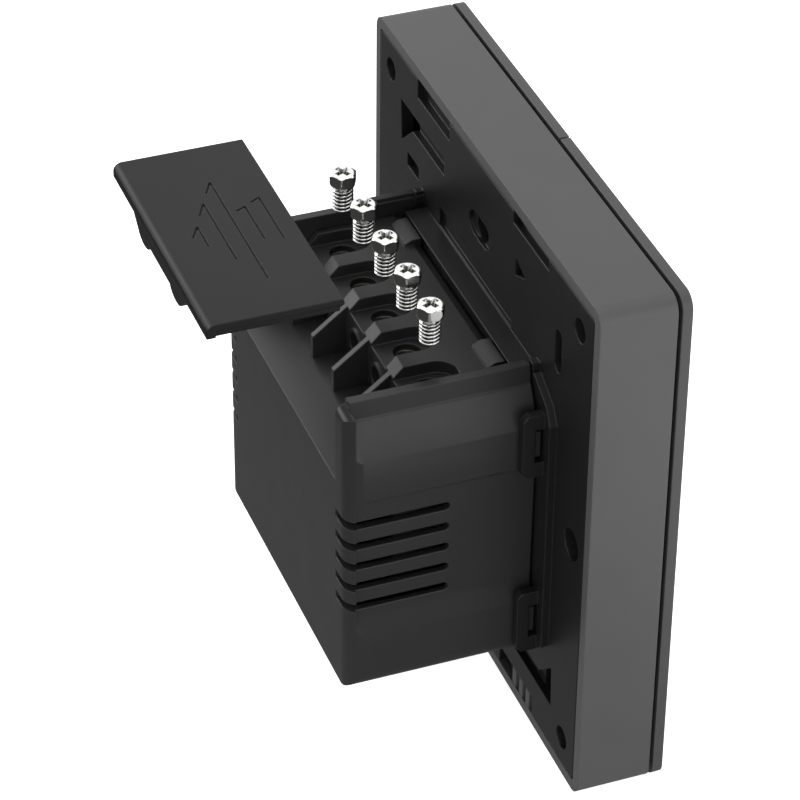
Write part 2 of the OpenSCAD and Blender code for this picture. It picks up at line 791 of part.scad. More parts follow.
// Back panel with the flange, the clip loops and the ledge in front of the deck
module back_panel() {
    window_half = 18;
    window_top = 8;
    color(shell_black) {
        difference() {
            union() {
                along_y(-panel_t, 0) rounded_square(2 * panel_half, inner_r);
                for (sx = [-1, 1], sz = [-1, 1]) rod_y(sx * fixing_pos, sz * fixing_pos,
                    fixing_r + well_floor_t, -fixing_depth - well_floor_t, -panel_t + merge);
                along_y(-merge, flange_t) difference() {
                    flange_outline();
                    flange_room();
                }
                span([-ledge_half, -merge, deck_z - ledge_t], [ledge_half, ledge_rear, deck_z + ledge_rise]);
                side_rail(-merge, flange_t);
                both_sides() {
                    clip_loop(upper_clip_z);
                    clip_loop(lower_clip_z);
                    for (z = [board_post_low, board_post_high])
                        rod_y(board_post_x, z, board_post_r, -merge, power_front);
                    for (sz = [-1, 1])
                        rod_y(standoff_x, sz * standoff_z, standoff_r, control_rear, -panel_t + merge);
                }
            }
            for (sx = [-1, 1], sz = [-1, 1]) {
                rod_y(sx * fixing_pos, sz * fixing_pos, fixing_r, -fixing_depth, cut);
                rod_y(sx * fixing_pos, sz * fixing_pos, small_screw_r + screw_clear,
                      -fixing_depth - well_floor_t - cut, 0);
            }
            both_sides() for (z = [board_post_low, board_post_high])
                rod_y(board_post_x, z, pilot_r, -merge, power_front + cut);
            panel_cuts();
            span([-window_half, -panel_t - cut, -window_half], [window_half, cut, window_top]);
        }
    }
}

// Small pan head screw that points towards -Y, with its head's top at y
module small_screw(x, z, y, length) {
    rod_y(x, z, small_head_r, y - small_head_h, y);
    rod_y(x, z, small_screw_r, y - small_head_h - length, y - small_head_h + merge);
}

// Four screws in the corner wells, from the panel into the frame's posts
module panel_screws() {
    color(bright_metal) for (sx = [-1, 1], sz = [-1, 1])
        small_screw(sx * fixing_pos, sz * fixing_pos, -fixing_depth + small_head_h, panel_screw_l);
}

module board_header() {
    pins = 5;
    pin_pitch = 2.54;
    pin_w = 0.64;
    header_h = 2.5;
    low_z = -10;
    pin_l = 2;
    body_y = control_rear + pin_l;
    pin_z = low_z + (header_h - pin_w) / 2;
    color(shell_black) span([-pins * pin_pitch / 2, body_y, low_z],
                            [pins * pin_pitch / 2, power_front, low_z + header_h]);
    color(brass_yellow) for (i = [0:pins - 1]) {
        x = (i - (pins - 1) / 2) * pin_pitch - pin_w / 2;
        span([x, control_rear, pin_z], [x + pin_w, body_y + merge, pin_z + pin_w]);
    }
}

module power_board() {
    edge = cavity_half - board_clear;
    upper = seat_half - board_clear;
    low_z = cavity_bottom + board_clear;
    color(board_green) difference() {
        along_y(power_front, power_rear) union() {
            translate([-edge, low_z]) square([2 * edge, floor_under - board_clear - low_z]);
            translate([-upper, 0]) square([2 * upper, power_top]);
        }
        both_sides() for (z = [board_post_low, board_post_high])
            rod_y(board_post_x, z, small_screw_r + screw_clear, power_front - cut, power_rear + cut);
    }
}

// Four screws that hold the power board on the panel's posts
module board_screws() {
    color(bright_metal) both_sides() for (z = [board_post_low, board_post_high])
        small_screw(board_post_x, z, power_rear + small_head_h, power_rear - small_head_h);
}

// A block on the power board, with its low corner at x and z
module board_block(x, z, w, h, d) {
    span([x, power_rear, z], [x + w, power_rear + d, z + h]);
}

module relay(x) {
    color("navy") board_block(x, cavity_bottom + relay_low, relay_w, relay_h, relay_d);
}

module relay_left() { relay(relay_edge - 2 * relay_w - relay_gap); }
module relay_right() { relay(relay_edge - relay_w); }

// Small ferrite transformer: core, bobbin and winding
module transformer() {
    z = cavity_bottom + core_low;
    color("dimgray") for (y = [0, bobbin_d])
        translate([0, y, 0]) board_block(core_x, z, core_w, core_h, core_d);
    color("gold") board_block(core_x + (core_w - bobbin_w) / 2, z + (core_h - bobbin_h) / 2,
                              bobbin_w, bobbin_h, bobbin_d + core_d / 2);
}

module bulk_capacitor() {
    color("darkslateblue") rod_y(bulk_x, bulk_z, bulk_r, power_rear, power_rear + bulk_l);
}

module film_capacitor() {
    color("goldenrod") board_block(film_x, film_z, film_w, film_h, film_d);
}

// Disc varistor on its two leads
module varistor() {
    lead_x = 2.5;
    stand = 1;
    color("teal") translate([disc_x - disc_t / 2, power_rear + disc_r + stand, disc_z])
        rotate([0, 90, 0]) cylinder(r = disc_r, h = disc_t);
    color(bright_metal) for (s = [-1, 1])
        rod_y(disc_x, disc_z + s * lead_x, lead_r, power_rear, power_rear + disc_r - stand);
}

// Fuse that lies along the board between its two lead-outs
module fuse() {
    stand = 0.6;
    lead_in = 0.8;
    color("tan") translate([fuse_x, power_rear + fuse_r + stand, fuse_z]) cylinder(r = fuse_r, h = fuse_l);
    color(bright_metal) for (z = [fuse_z + lead_in, fuse_z + fuse_l - lead_in])
        rod_y(fuse_x, z, lead_r, power_rear, power_rear + fuse_r + stand);
}

// Outline of the housing seen from above, with its rear corners rounded
module housing_plan() {
    depth = module_depth - housing_front;
    translate([-module_half, housing_front]) square([module_w, depth - rear_r]);
    translate([-module_half + rear_r, housing_front]) square([module_w - 2 * rear_r, depth]);
    for (s = [-1, 1]) translate([s * (module_half - rear_r), module_depth - rear_r]) circle(rear_r);
}

// Upright pillars in the rear corners, which stand out beside the leaning walls
module pillars() {
    low = shoulder_z - pillar_root;
    intersection() {
        translate([0, 0, low]) linear_extrude(wall_top - low) intersection() {
            housing_plan();
            for (s = [-1, 1]) translate([s * (module_half - pillar_w / 2), module_depth - pillar_l / 2])
                square([pillar_w, pillar_l], center = true);
        }
        along_x(-module_half, module_half) housing_side_view();
    }
}

// Side view of the housing: the walls end in a step and a curve at the rear
module housing_side_view() {
    polygon(concat(
        [[housing_front - cut, -module_drop - cut], [module_depth + cut, -module_drop - cut],
         [module_depth + cut, wall_top - end_fall]],
        arc(module_depth - pillar_l, wall_top - end_fall, pillar_l, 0, 90),
        [[module_depth - pillar_l, wall_top], [housing_front - cut, wall_top]]));
}

module housing_cavity() {
    slope_front = module_depth - floor_slope_l;
    steps = 8;
    // the floor bends down softly, then falls almost straight to its rear edge
    fall = [for (i = [0:steps]) let (t = i / steps)
        [slope_front + t * floor_slope_l, -floor_fall * pow(t, floor_bend)]];
    under = [for (i = [steps:-1:0]) if (fall[i].x < cavity_rear) [fall[i].x, floor_under + fall[i].y]];
    along_x(-cavity_half, cavity_half)
        polygon(concat([[housing_front - cut, cavity_bottom], [cavity_rear, cavity_bottom],
                        [cavity_rear, under[0].y - floor_fall / steps]], under,
                       [[housing_front - cut, floor_under]]));
    // well for the terminal block, with a seat along its sides and rear
    span([-seat_half, housing_front - cut, floor_under - cut],
         [seat_half, deck_rear - floor_t, floor_z + cut]);
    span([-bay_half, housing_front - cut, floor_z], [bay_half, deck_rear, wall_top + cut]);
    // open bay where the wires come in
    along_x(-bay_half, bay_half)
        polygon(concat([[deck_rear - cut, floor_z]], [for (p = fall) [p.x, floor_z + p.y]],
                       [[module_depth + cut, floor_z - floor_fall],
                        [module_depth + cut, wall_top + cut], [deck_rear - cut, wall_top + cut]]));
}

// Vent slots that run round the rear corner
module vents() {
    r = vent_h / 2;
    x0 = module_half - vent_in;
    for (i = [0:vent_count - 1]) translate([0, 0, vent_top - i * vent_pitch]) {
        translate([x0, vent_y + r, 0]) rotate([0, 90, 0]) cylinder(r = r, h = vent_in + cut);
        span([x0, vent_y + r, -r], [module_half + cut, module_depth + cut, r]);
    }
}

// Shallow panel sunk in a side of the housing, with a slope under it
module side_panel_cut() {
    along_y(housing_front - cut, module_depth - pillar_l)
        polygon([[module_half + cut, sink_top], [module_half, sink_top],
                 [module_half - side_sink, sink_top - side_sink],
                 [module_half - sink_low, sink_bottom], [module_half, sink_bottom - sink_slope],
                 [module_half + cut, sink_bottom - sink_slope]]);
}

// Low rail on top of the far side wall, beside the ledge
module side_rail(y0, y1) {
    span([bay_half + rail_in, y0, wall_top - merge], [lip_top_half - rail_in, y1, wall_top + rail_h]);
}

// Catch under a clip loop
module catch(z) {
    span([module_half - 2 * side_sink, housing_front, z - catch_h / 2],
         [module_half + joint_gap + catch_out, clip_reach - clip_bar - slide_clear, z + catch_h / 2]);
}

// Rear shell of the module: an open-fronted box with a sloping wire floor
module rear_housing() {
    color(shell_black) {
        difference() {
            union() {
                intersection() {
                    along_y(housing_front, module_depth) housing_outline();
                    translate([0, 0, -module_drop]) linear_extrude(module_drop + wall_top) housing_plan();
                    along_x(-module_half, module_half) housing_side_view();
                }
                pillars();
            }
            housing_cavity();
            both_sides() {
                vents();
                side_panel_cut();
            }
        }
        both_sides() {
            catch(upper_clip_z);
            catch(lower_clip_z);
        }
        side_rail(housing_front, rail_rear);
    }
}

// U-shaped pocket of one terminal, open to the rear
module terminal_pocket(x) {
    r = pocket_w / 2;
    front = screw_y - pocket_front;
    translate([x, front, pocket_floor]) cylinder(r = r, h = pocket_d + cut);
    span([x - r, front, pocket_floor], [x + r, deck_rear + cut, deck_z + cut]);
}

// Ramp near each end of the deck's front edge, which lines up the cover
module deck_ramp() {
    ramp_in = 2.5;
    ramp_l = 6;
    ramp_w = 2.6;
    ramp_top_w = 1.2;
    ramp_rear = deck_front + ramp_w;
    along_x(block_half - ramp_in - ramp_l, block_half - ramp_in)
        polygon([[deck_front, deck_z - ledge_t], [ramp_rear, deck_z - ledge_t], [ramp_rear, deck_z + merge],
                 [ramp_rear - ramp_top_w, deck_z + ledge_rise],
                 [deck_front, deck_z + ledge_rise]]);
}

// Deck that holds the five clamps, with fins between the wires
module terminal_block() {
    body_front = power_rear + deck_body_gap;
    color(shell_black) {
        difference() {
            union() {
                along_x(-block_half, block_half)
                    polygon([[body_front, floor_z], [deck_rear - slide_clear / 2, floor_z],
                             [deck_rear - slide_clear / 2, deck_z - deck_chamfer],
                             [deck_rear - deck_chamfer, deck_z], [deck_front + deck_slope_l, deck_z],
                             [deck_front, deck_z - deck_slope_h], [deck_front, deck_z - ledge_t],
                             [body_front, deck_z - ledge_t]]);
                both_sides() deck_ramp();
                for (x = pole_x)
                    rod_y(x, wire_z, wire_r + rim_wall, deck_rear - merge, deck_rear + rim_out);
                for (x = fin_x) along_x(x - fin_t / 2, x + fin_t / 2)
                    polygon([[deck_rear - merge, floor_z], [deck_rear + fin_reach, floor_z],
                             [deck_rear + fin_reach, floor_z + fin_rear_h],
                             [deck_rear - slide_clear / 2, deck_z - deck_chamfer],
                             [deck_rear - merge, deck_z - deck_chamfer]]);
            }
            for (x = pole_x) {
                terminal_pocket(x);
                translate([x, screw_y, chamber_top - cut])
                    cylinder(r = passage_r, h = pocket_floor_t + 2 * cut);
                span([x - chamber_w / 2, chamber_front, floor_z - cut],
                     [x + chamber_w / 2, chamber_rear, chamber_top]);
                span([x - tab_w / 2 - clamp_gap, body_front - cut, floor_z - cut],
                     [x + tab_w / 2 + clamp_gap, chamber_front + cut, floor_z + tab_t + 2 * clamp_gap]);
                rod_y(x, wire_z, wire_r, chamber_rear - cut, deck_rear + rim_out + cut);
            }
        }
    }
}

// Brass clamp with a threaded top, a window for the wire and a solder tab
module terminal_clamp(i) {
    x = pole_x[i];
    half = chamber_w / 2 - clamp_gap;
    low = floor_z + clamp_gap;
    high = chamber_top - clamp_gap / 2;
    color(brass_yellow) difference() {
        union() {
            span([x - half, chamber_front + clamp_gap, low], [x + half, chamber_rear - clamp_gap, high]);
            span([x - tab_w / 2, power_rear, low],
                 [x + tab_w / 2, chamber_front + clamp_gap + merge, low + tab_t]);
        }
        span([x - wire_r, chamber_front, low + clamp_floor_t],
             [x + wire_r, chamber_rear, high - clamp_top_t]);
        translate([x, screw_y, high - clamp_top_t - cut])
            cylinder(r = screw_r + screw_clear, h = clamp_top_t + 2 * cut);
    }
}

module terminal_clamp_1() { terminal_clamp(0); }
module terminal_clamp_2() { terminal_clamp(1); }
module terminal_clamp_3() { terminal_clamp(2); }
module terminal_clamp_4() { terminal_clamp(3); }
module terminal_clamp_5() { terminal_clamp(4); }

// Terminal screw with a flat-sided head, a cross recess and a ridged shank
module terminal_screw(i) {
    thread_depth = 0.3;
    plain_l = 0.6;
    chamfer = 0.4;
    recess_w = 0.8;
    recess_l = 2.6;
    recess_d = 1;
    flats = 1.09;  // hexagon's radius over the head's
    root_r = screw_r - thread_depth;
    turns = floor((shank_l - plain_l) / thread_pitch);
    tip = head_top + screw_lift - head_h - shank_l;
    ridges = [for (k = [0:turns - 1]) each
        [[screw_r, (k + 0.5) * thread_pitch], [root_r, (k + 1) * thread_pitch]]];
    color(bright_metal) translate([pole_x[i], screw_y, tip]) difference() {
        union() {
            rotate_extrude() polygon(concat([[0, 0], [root_r, 0]], ridges,
                [[root_r, shank_l + cut], [0, shank_l + cut]]));
            translate([0, 0, shank_l]) intersection() {
                rotate_extrude() polygon([[0, 0], [head_r - chamfer / 2, 0], [head_r, chamfer / 2],
                    [head_r, head_h - chamfer], [head_r - chamfer, head_h], [0, head_h]]);
                cylinder(r = head_r * flats, h = head_h, $fn = 6);
            }
        }
        for (a = [0, 90]) rotate([0, 0, a]) translate([0, 0, shank_l + head_h])
            cube([recess_l, recess_w, 2 * recess_d], center = true);
    }
}

module terminal_screw_1() { terminal_screw(0); }
module terminal_screw_2() { terminal_screw(1); }
module terminal_screw_3() { terminal_screw(2); }
module terminal_screw_4() { terminal_screw(3); }
module terminal_screw_5() { terminal_screw(4); }

// Wavy lower edge of the cover's rear skirt, as depths below the plate
function skirt_outline() = concat(
    [[skirt_in - cover_half, 0], [skirt_in - cover_half, -rim_h], [-skirt_end, -rim_h - skirt_fall]],
    [for (s = [-1, 1], k = [0:8]) let (a = 20 + 140 * k / 8)
        [s * lobe_x - lobe_r * cos(a), -rim_h - lobe_root - (lobe_drop - lobe_root) * sin(a)]],
    [[skirt_end, -rim_h - skirt_fall], [cover_half - skirt_in, -rim_h], [cover_half - skirt_in, 0]]);

// Cover over the terminals, drawn back and lifted off
module terminal_cover() {
    rear = cover_front + cover_l;
    top = cover_plate_z + cover_t;
    rim_z = cover_plate_z - rim_h;
    skirt_t = 1.1;
    color(shell_black) translate([0, cover_back, cover_lift]) difference() {
        union() {
            // plate with a rounded rear edge
            along_x(-cover_half, cover_half) polygon(concat(
                [[cover_front, cover_plate_z], [rear - cover_round, cover_plate_z],
                 [rear - cover_round, rim_z], [rear, rim_z]],
                arc(rear - cover_round, top - cover_round, cover_round, 0, 90),
                [[cover_front, top]]));
            both_sides() span([cover_half - rim_inset - rim_t, cover_front + rim_inset, rim_z],
                              [cover_half - rim_inset, rear - merge, cover_plate_z + merge]);
            along_y(rear - skirt_t - slide_clear, rear - slide_clear)
                translate([0, cover_plate_z + merge]) polygon(skirt_outline());
        }
        translate([0, cover_front, top]) cover_marks();
    }
}

// Engraved strokes, each with a short barb: far end, near end, barb's end
module cover_marks() {
    mark_w = 0.3;
    mark_cut = 0.25;
    marks = [[[12.2, 8], [-13.5, 8], [9.5, 9.4]], [[7.2, 10.6], [-7.7, 10.6], [4.4, 12]],
             [[1.9, 13.2], [-3.4, 13.2], [-0.7, 14.6]], [[4.6, 5.3], [-4.2, 5.3], [3.8, 6.8]],
             [[6.2, 2.7], [-5, 2.7], [5.3, 4.2]]];
    translate([0, 0, -mark_cut]) linear_extrude(mark_cut + cut) for (m = marks, k = [1, 2]) {
        along = m[k] - m[0];
        translate(m[0]) rotate(atan2(along.y, along.x)) translate([0, -mark_w / 2])
            square([norm(along), mark_w]);
    }
}

front_frame();
key_carrier();
key_left();
key_right();
control_board();
wireless_module();
status_leds();
tact_switch_left();
tact_switch_right();
tact_plunger_left();
tact_plunger_right();
light_pipe_left();
light_pipe_right();
back_panel();
panel_screws();
board_header();
power_board();
board_screws();
relay_left();
relay_right();
transformer();
bulk_capacitor();
film_capacitor();
varistor();
fuse();
rear_housing();
terminal_block();
terminal_cover();
terminal_clamp_1();
terminal_clamp_2();
terminal_clamp_3();
terminal_clamp_4();
terminal_clamp_5();
terminal_screw_1();
terminal_screw_2();
terminal_screw_3();
terminal_screw_4();
terminal_screw_5();
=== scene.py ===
# %% [markdown]
# # A smart light switch, seen from behind
# The switch is open for wiring. Its terminal cover is drawn back and lifted, and
# the five terminal screws are backed out over their pockets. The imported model
# gives every plastic part, so this lesson dresses those parts with finishes,
# makes the five screws again with real threads, and sets up a small photo studio.

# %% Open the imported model
import bpy
import bmesh
import math
from mathutils import Matrix, Vector


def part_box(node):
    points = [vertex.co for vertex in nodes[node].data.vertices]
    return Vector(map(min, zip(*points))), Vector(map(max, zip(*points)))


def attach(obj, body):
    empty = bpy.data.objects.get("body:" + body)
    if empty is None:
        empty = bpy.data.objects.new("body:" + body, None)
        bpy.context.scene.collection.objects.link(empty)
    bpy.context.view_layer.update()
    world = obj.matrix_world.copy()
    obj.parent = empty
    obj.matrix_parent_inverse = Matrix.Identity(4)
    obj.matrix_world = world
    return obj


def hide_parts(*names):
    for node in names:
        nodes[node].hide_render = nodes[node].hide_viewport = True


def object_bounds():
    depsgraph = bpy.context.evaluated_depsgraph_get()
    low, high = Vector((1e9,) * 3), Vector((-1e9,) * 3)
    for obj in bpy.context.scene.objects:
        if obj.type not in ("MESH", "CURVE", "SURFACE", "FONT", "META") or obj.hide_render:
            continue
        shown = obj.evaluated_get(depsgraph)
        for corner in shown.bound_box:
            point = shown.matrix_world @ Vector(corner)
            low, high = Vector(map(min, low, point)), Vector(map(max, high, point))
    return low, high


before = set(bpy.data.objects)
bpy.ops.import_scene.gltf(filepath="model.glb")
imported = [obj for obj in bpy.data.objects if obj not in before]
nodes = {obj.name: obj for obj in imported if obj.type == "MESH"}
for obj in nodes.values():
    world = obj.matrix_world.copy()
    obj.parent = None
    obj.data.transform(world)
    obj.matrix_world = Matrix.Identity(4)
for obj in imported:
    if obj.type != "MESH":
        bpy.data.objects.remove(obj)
cad_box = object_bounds()
print("parts in the packed model:", len(nodes))

# %% [markdown]
# ## The camera
# The photograph looks down on the switch from behind, with a long lens. A camera
# could be placed by eye and nudged. Here its place and the directions of its own
# axes were worked out from the plate's corners and written down as numbers, so
# the same view comes back each time.

# %% Camera at the photograph's angle
MM = 0.001
FRAME_PX = 800
SENSOR_MM = 36
FOCAL_PX = 3485.905
camera_place = Vector((-387.592, 159.341, 305.759)) * MM
to_right = Vector((-0.350333, -0.936596, 0.007364))
to_top = Vector((0.554565, -0.201086, 0.807479))
to_back = Vector((-0.754801, 0.286970, 0.589851))

lens = bpy.data.cameras.new("long_lens")
lens.sensor_width = SENSOR_MM
lens.lens = FOCAL_PX * SENSOR_MM / FRAME_PX
lens.clip_start, lens.clip_end = 0.02, 20
camera = bpy.data.objects.new("camera", lens)
turn = Matrix((to_right, to_top, to_back)).transposed()
camera.matrix_world = Matrix.Translation(camera_place) @ turn.to_4x4()
bpy.context.scene.collection.objects.link(camera)
bpy.context.scene.camera = camera
print("focal length in mm:", round(lens.lens, 1))

# %% [markdown]
# ## Small helpers
# Every finish below is a material made from shader nodes. They could be wired by
# hand in the shader editor, but then nobody could rerun or compare them. A few
# helpers keep the cells short: one adds a node, one feeds a socket, and one makes a
# node group with named sockets, which is made once and placed in many materials.


# %% Helpers for shader nodes
def add(tree, kind, **settings):
    """Adds a node, sets its properties, and returns it."""
    node = tree.nodes.new(kind)
    for name, value in settings.items():
        setattr(node, name, value)
    return node


def join(tree, source, socket):
    """Feeds a socket from another socket, or with a number or colour."""
    if isinstance(source, bpy.types.NodeSocket):
        tree.links.new(source, socket)
    else:
        socket.default_value = source


def start_group(name, inputs, outputs):
    """Makes a shader group with these sockets, and returns it with its two ends."""
    tree = bpy.data.node_groups.new(name, "ShaderNodeTree")
    for socket, (kind, value) in inputs.items():
        made = tree.interface.new_socket(socket, in_out="INPUT", socket_type="NodeSocket" + kind)
        made.default_value = value
    for socket, kind in outputs.items():
        tree.interface.new_socket(socket, in_out="OUTPUT", socket_type="NodeSocket" + kind)
    return tree, add(tree, "NodeGroupInput"), add(tree, "NodeGroupOutput")


print("helpers ready")


# %% Helpers for values and colours
def maths(tree, operation, first, second):
    """Adds a maths node. Each value is a number or a socket."""
    node = add(tree, "ShaderNodeMath", operation=operation)
    for socket, value in zip(node.inputs, (first, second)):
        join(tree, value, socket)
    return node.outputs["Value"]


def noise(tree, place, scale, detail=2.0):
    """Adds a noise texture. Its scale is a number or a socket, in cells per metre."""
    node = add(tree, "ShaderNodeTexNoise")
    for name, value in (("Vector", place), ("Scale", scale), ("Detail", detail)):
        join(tree, value, node.inputs[name])
    return node.outputs["Fac"]


def remap(tree, value, span, before, after):
    """Turns a value that crosses a span into one that goes from before to after."""
    node = add(tree, "ShaderNodeMapRange")
    names = ("Value", "From Min", "From Max", "To Min", "To Max")
    for name, number in zip(names, (value, *span, before, after)):
        join(tree, number, node.inputs[name])
    return node.outputs["Result"]


MOST_NOISE = (0.3, 0.7)


def spread(tree, value, low, high):
    """Spreads a noise over low to high."""
    return remap(tree, value, MOST_NOISE, low, high)


def mix(tree, factor, first, second):
    """Mixes two colours. The colour sockets share their names, so they go by place."""
    node = add(tree, "ShaderNodeMix", data_type="RGBA")
    for place, value in ((0, factor), (6, first), (7, second)):
        join(tree, value, node.inputs[place])
    return node.outputs[2]


print("most noise lies between", *MOST_NOISE)

# %% [markdown]
# ## The skin of a moulded part
# A moulded part has small radii on all its edges, because a cutter can't make a
# mould with perfectly sharp corners. They could be modelled with a bevel on each
# edge. The shader's bevel is used instead: it rounds the normals within a radius,
# which gives the thin highlight along each edge without a change of shape.
# The same node finds the edges, so they can be rubbed a little lighter and
# smoother. A fine noise makes the grain that the mould's spark-eroded walls leave,
# and a broad one lets the colour drift, as it does in filled plastic.

# %% Node group: moulded skin
EDGE_ROUND = 0.3 * MM
EDGE_GAIN = 4.0
EDGE_POLISH = -0.08
PATCH_SCALE = 900.0
DRIFT_SCALE, DRIFT = 70.0, 0.04
HANDLING_SCALE, HANDLING = 160.0, 0.015
GRAIN_DEPTH = 0.02 * MM

skin, skin_in, skin_out = start_group(
    "moulded_skin",
    {
        "Colour": ("Color", (0.05, 0.05, 0.05, 1)),
        "Rubbed colour": ("Color", (0.08, 0.08, 0.08, 1)),
        "Roughness": ("Float", 0.5),
        "Grain": ("Float", 0.1),
        "Grain scale": ("Float", 5000.0),
    },
    {"Colour": "Color", "Roughness": "Float", "Normal": "Vector"},
)
where = add(skin, "ShaderNodeTexCoord").outputs["Object"]
surface = add(skin, "ShaderNodeNewGeometry")
rounding = add(skin, "ShaderNodeBevel", samples=6)
join(skin, EDGE_ROUND, rounding.inputs["Radius"])

facing = add(skin, "ShaderNodeVectorMath", operation="DOT_PRODUCT")
join(skin, rounding.outputs["Normal"], facing.inputs[0])
join(skin, surface.outputs["Normal"], facing.inputs[1])
turned = maths(skin, "SUBTRACT", 1.0, facing.outputs["Value"])
patchy = spread(skin, noise(skin, where, PATCH_SCALE), 0.2, 1.0)
edge = add(skin, "ShaderNodeClamp")
rubbed = maths(skin, "MULTIPLY", maths(skin, "MULTIPLY", turned, EDGE_GAIN), patchy)
join(skin, rubbed, edge.inputs["Value"])

drift = spread(skin, noise(skin, where, DRIFT_SCALE, 3.0), 1 - DRIFT, 1 + DRIFT)
drifted = add(skin, "ShaderNodeVectorMath", operation="SCALE")
join(skin, skin_in.outputs["Colour"], drifted.inputs[0])
join(skin, drift, drifted.inputs["Scale"])
worn = skin_in.outputs["Rubbed colour"]
colour = mix(skin, edge.outputs["Result"], drifted.outputs["Vector"], worn)
join(skin, colour, skin_out.inputs["Colour"])

handled = spread(skin, noise(skin, where, HANDLING_SCALE, 4.0), -HANDLING, HANDLING)
rough = maths(skin, "ADD", skin_in.outputs["Roughness"], handled)
polished = maths(skin, "MULTIPLY", edge.outputs["Result"], EDGE_POLISH)
join(skin, maths(skin, "ADD", rough, polished), skin_out.inputs["Roughness"])

grain = noise(skin, where, skin_in.outputs["Grain scale"], 1.5)
relief = add(skin, "ShaderNodeBump")
join(skin, GRAIN_DEPTH, relief.inputs["Distance"])
join(skin, skin_in.outputs["Grain"], relief.inputs["Strength"])
join(skin, grain, relief.inputs["Height"])
join(skin, rounding.outputs["Normal"], relief.inputs["Normal"])
join(skin, relief.outputs["Normal"], skin_out.inputs["Normal"])
print("moulded skin:", len(skin.nodes), "nodes")

# %% [markdown]
# ## The plastics
# The front frame and the keys are a mid grey, moulded finer than the rest, with a
# satin sheen. Everything behind them is charcoal with a coarser grain. One material
# could serve them all, but the moulds differ in shade, grain and gloss, so a recipe
# makes one for each. The shader itself stays in each material, and its constant
# values sit on its own sockets, so an export can read them.


# %% Recipe for a moulded plastic
def new_material(name):
    """Makes a material, and returns it with its node tree and its shader."""
    material = bpy.data.materials.new(name)
    material.use_nodes = True
    return material, material.node_tree, material.node_tree.nodes["Principled BSDF"]


def dressed(name, group, values, socket, constant):
    """A material that a group gives colour, roughness and normal, with one constant."""
    material, tree, shader = new_material(name)
    shader.inputs[socket].default_value = constant
    dress = add(tree, "ShaderNodeGroup", node_tree=group)
    for slot, value in zip(dress.inputs, values):
        slot.default_value = value
    join(tree, dress.outputs["Colour"], shader.inputs["Base Color"])
    join(tree, dress.outputs["Roughness"], shader.inputs["Roughness"])
    join(tree, dress.outputs["Normal"], shader.inputs["Normal"])
    return material


def plastic(name, shade, rubbed, roughness, grain, scale, gloss=0.5):
    """A plastic in the moulded skin."""
    values = ((*shade, 1), (*rubbed, 1), roughness, grain, scale)
    return dressed(name, skin, values, "Specular IOR Level", gloss)


print("the skin's inputs:", ", ".join(socket.name for socket in skin_in.outputs if socket.name))

# %% One finish for each kind of plastic
FINE, COARSE, PITTED = 9000.0, 4500.0, 2500.0
finishes = {
    "frame_plastic": plastic("frame_grey", (0.063, 0.063, 0.064), (0.076, 0.076, 0.078),
                             0.42, 0.06, FINE),
    "key_plastic": plastic("key_grey", (0.05, 0.05, 0.051), (0.09, 0.09, 0.092),
                           0.42, 0.06, FINE),
    "panel_plastic": plastic("panel_charcoal", (0.0065, 0.0065, 0.0068), (0.011, 0.011, 0.0113),
                             0.42, 0.12, COARSE, 0.45),
    "housing_plastic": plastic("housing_charcoal", (0.0145, 0.0145, 0.015), (0.021, 0.021, 0.0215),
                               0.4, 0.12, COARSE),
    "terminal_plastic": plastic("terminal_charcoal", (0.014, 0.014, 0.0145), (0.024, 0.024, 0.0245),
                                0.4, 0.12, COARSE),
    "cover_plastic": plastic("cover_charcoal", (0.0075, 0.0075, 0.0078), (0.011, 0.011, 0.0113),
                             0.42, 0.12, COARSE, 0.28),
    "inner_plastic": plastic("inner_black", (0.03, 0.03, 0.03), (0.05, 0.05, 0.05),
                             0.55, 0.1, COARSE),
    "relay_case": plastic("relay_black", (0.014, 0.014, 0.015), (0.03, 0.03, 0.031),
                          0.35, 0.04, FINE),
    "film_case": plastic("film_yellow", (0.55, 0.36, 0.06), (0.65, 0.46, 0.12),
                         0.45, 0.05, FINE),
    "disc_coating": plastic("disc_blue_green", (0.04, 0.2, 0.25), (0.08, 0.28, 0.33),
                            0.4, 0.3, PITTED),
    "capacitor_sleeve": plastic("sleeve_navy", (0.03, 0.04, 0.12), (0.06, 0.07, 0.18),
                                0.3, 0.05, FINE),
    "ferrite": plastic("ferrite_black", (0.05, 0.05, 0.052), (0.09, 0.09, 0.09),
                       0.6, 0.5, PITTED),
    "circuit_board": plastic("solder_mask_green", (0.02, 0.12, 0.06), (0.2, 0.22, 0.1),
                             0.38, 0.1, COARSE),
}
print("plastics:", len(finishes))

# %% [markdown]
# ## The metals
# Plated metal is smooth, with fine scuffs and patches where the plating is duller.
# One plain colour and roughness would do from far away, but the screws are the
# brightest thing in the picture and draw the eye. So one noise dulls the colour in
# patches, another changes the roughness, and a faint bump bends the reflections.

# %% Node group: plated metal
BURR_ROUND = 0.08 * MM
TARNISH_SCALE, MOST_TARNISH = 700.0, 0.35
SCUFF_SCALE = 4000.0
WAVE_SCALE, WAVE_DEPTH = 1500.0, 0.02 * MM

